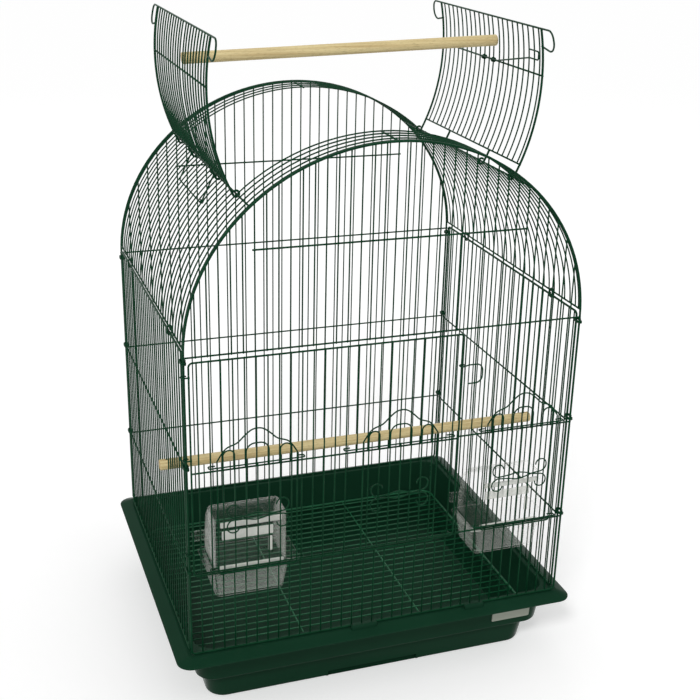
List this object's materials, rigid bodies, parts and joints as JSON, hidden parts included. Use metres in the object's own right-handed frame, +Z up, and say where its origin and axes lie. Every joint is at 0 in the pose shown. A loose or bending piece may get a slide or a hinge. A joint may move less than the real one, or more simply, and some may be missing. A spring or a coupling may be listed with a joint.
{
  "type": "open-top bird cage",
  "caption": "Wire bird cage with an arched roof that opens as two curved flaps under a dowel perch, a swing-out front door, lift-up feeder doors, clear feeders and a deep plastic base.",
  "frame": {"origin": "centre of the base's underside, on the floor", "axes": "+X to the right, -Y to the front where the doors are, +Z up"},
  "size_m": [0.493, 0.417, 0.7594],
  "materials": {
    "powder_coated_steel": "dark green powder coat over welded steel wire, satin",
    "base_plastic": "dark green moulded polystyrene, semi-gloss",
    "clear_plastic": "clear moulded polystyrene",
    "dowel": "bare turned softwood",
    "plate_plastic": "blank silver-grey plate"
  },
  "bodies": {
    "cage": {"base_pan": "base_plastic", "label_plate": "plate_plastic", "floor_grille": "powder_coated_steel", "front_panel": "powder_coated_steel", "back_panel": "powder_coated_steel", "left_side_panel": "powder_coated_steel", "right_side_panel": "powder_coated_steel", "roof_panel": "powder_coated_steel", "left_feeder_cup": "clear_plastic", "left_feeder_hood": "clear_plastic", "right_feeder_cup": "clear_plastic", "right_feeder_hood": "clear_plastic", "inner_perch": "dowel", "front_left_low_clip": "powder_coated_steel", "front_right_low_clip": "powder_coated_steel", "back_left_low_clip": "powder_coated_steel", "back_right_low_clip": "powder_coated_steel", "front_left_mid_clip": "powder_coated_steel", "front_right_mid_clip": "powder_coated_steel", "back_left_mid_clip": "powder_coated_steel", "back_right_mid_clip": "powder_coated_steel", "front_left_high_clip": "powder_coated_steel", "front_right_high_clip": "powder_coated_steel", "back_left_high_clip": "powder_coated_steel", "back_right_high_clip": "powder_coated_steel", "front_left_roof_clip": "powder_coated_steel", "front_right_roof_clip": "powder_coated_steel", "back_left_roof_clip": "powder_coated_steel", "back_right_roof_clip": "powder_coated_steel"},
    "left_flap": {"left_flap": "powder_coated_steel"},
    "right_flap": {"right_flap": "powder_coated_steel"},
    "top_perch": {"top_perch": "dowel"},
    "roof_latch": {"roof_latch": "powder_coated_steel"},
    "roof_bail": {"roof_bail": "powder_coated_steel"},
    "main_door": {"main_door": "powder_coated_steel"},
    "main_door_latch": {"main_door_latch": "powder_coated_steel"},
    "left_feeder_door": {"left_feeder_door": "powder_coated_steel"},
    "middle_door": {"middle_door": "powder_coated_steel"},
    "right_feeder_door": {"right_feeder_door": "powder_coated_steel"}
  },
  "joints": [
    {"name": "left_flap_hinge", "type": "hinge", "parent": "cage", "child": "left_flap", "pos_m": [-0.157, 0, 0.5989], "axis": [0, 1, 0], "range_deg": [0, 76]},
    {"name": "right_flap_hinge", "type": "hinge", "parent": "cage", "child": "right_flap", "pos_m": [0.157, 0, 0.5989], "axis": [0, 1, 0], "range_deg": [-76, 0]},
    {"name": "top_perch_slide", "type": "slide", "parent": "cage", "child": "top_perch", "axis": [-0.9996, 0, -0.0297], "range_m": [0, 0.5575]},
    {"name": "roof_latch_hinge", "type": "hinge", "parent": "right_flap", "child": "roof_latch", "pos_m": [0.18597, 0, 0.70815], "axis": [0, -1, 0], "range_deg": [0, 60]},
    {"name": "roof_bail_hinge", "type": "hinge", "parent": "cage", "child": "roof_bail", "pos_m": [-0.157, 0, 0.5989], "axis": [0, -1, 0], "range_deg": [-10, 90]},
    {"name": "main_door_hinge", "type": "hinge", "parent": "cage", "child": "main_door", "pos_m": [-0.2285, -0.1905, 0.1875], "axis": [0, 0, -1], "range_deg": [0, 170]},
    {"name": "main_door_latch_hinge", "type": "hinge", "parent": "main_door", "child": "main_door_latch", "pos_m": [0.08416, -0.1936, 0.4025], "axis": [0, 0, -1], "range_deg": [0, 120]},
    {"name": "left_feeder_door_slide", "type": "slide", "parent": "main_door", "child": "left_feeder_door", "axis": [0, 0, 1], "range_m": [0, 0.115]},
    {"name": "middle_door_slide", "type": "slide", "parent": "main_door", "child": "middle_door", "axis": [0, 0, 1], "range_m": [0, 0.115]},
    {"name": "right_feeder_door_slide", "type": "slide", "parent": "cage", "child": "right_feeder_door", "axis": [0, 0, 1], "range_m": [0, 0.115]}
  ],
  "couplings": [
    {"joint": "right_flap_hinge", "follows": "left_flap_hinge", "ratio": -1},
    {"joint": "top_perch_slide", "follows": "left_flap_hinge", "m_per_rad": 0.42}
  ]
}
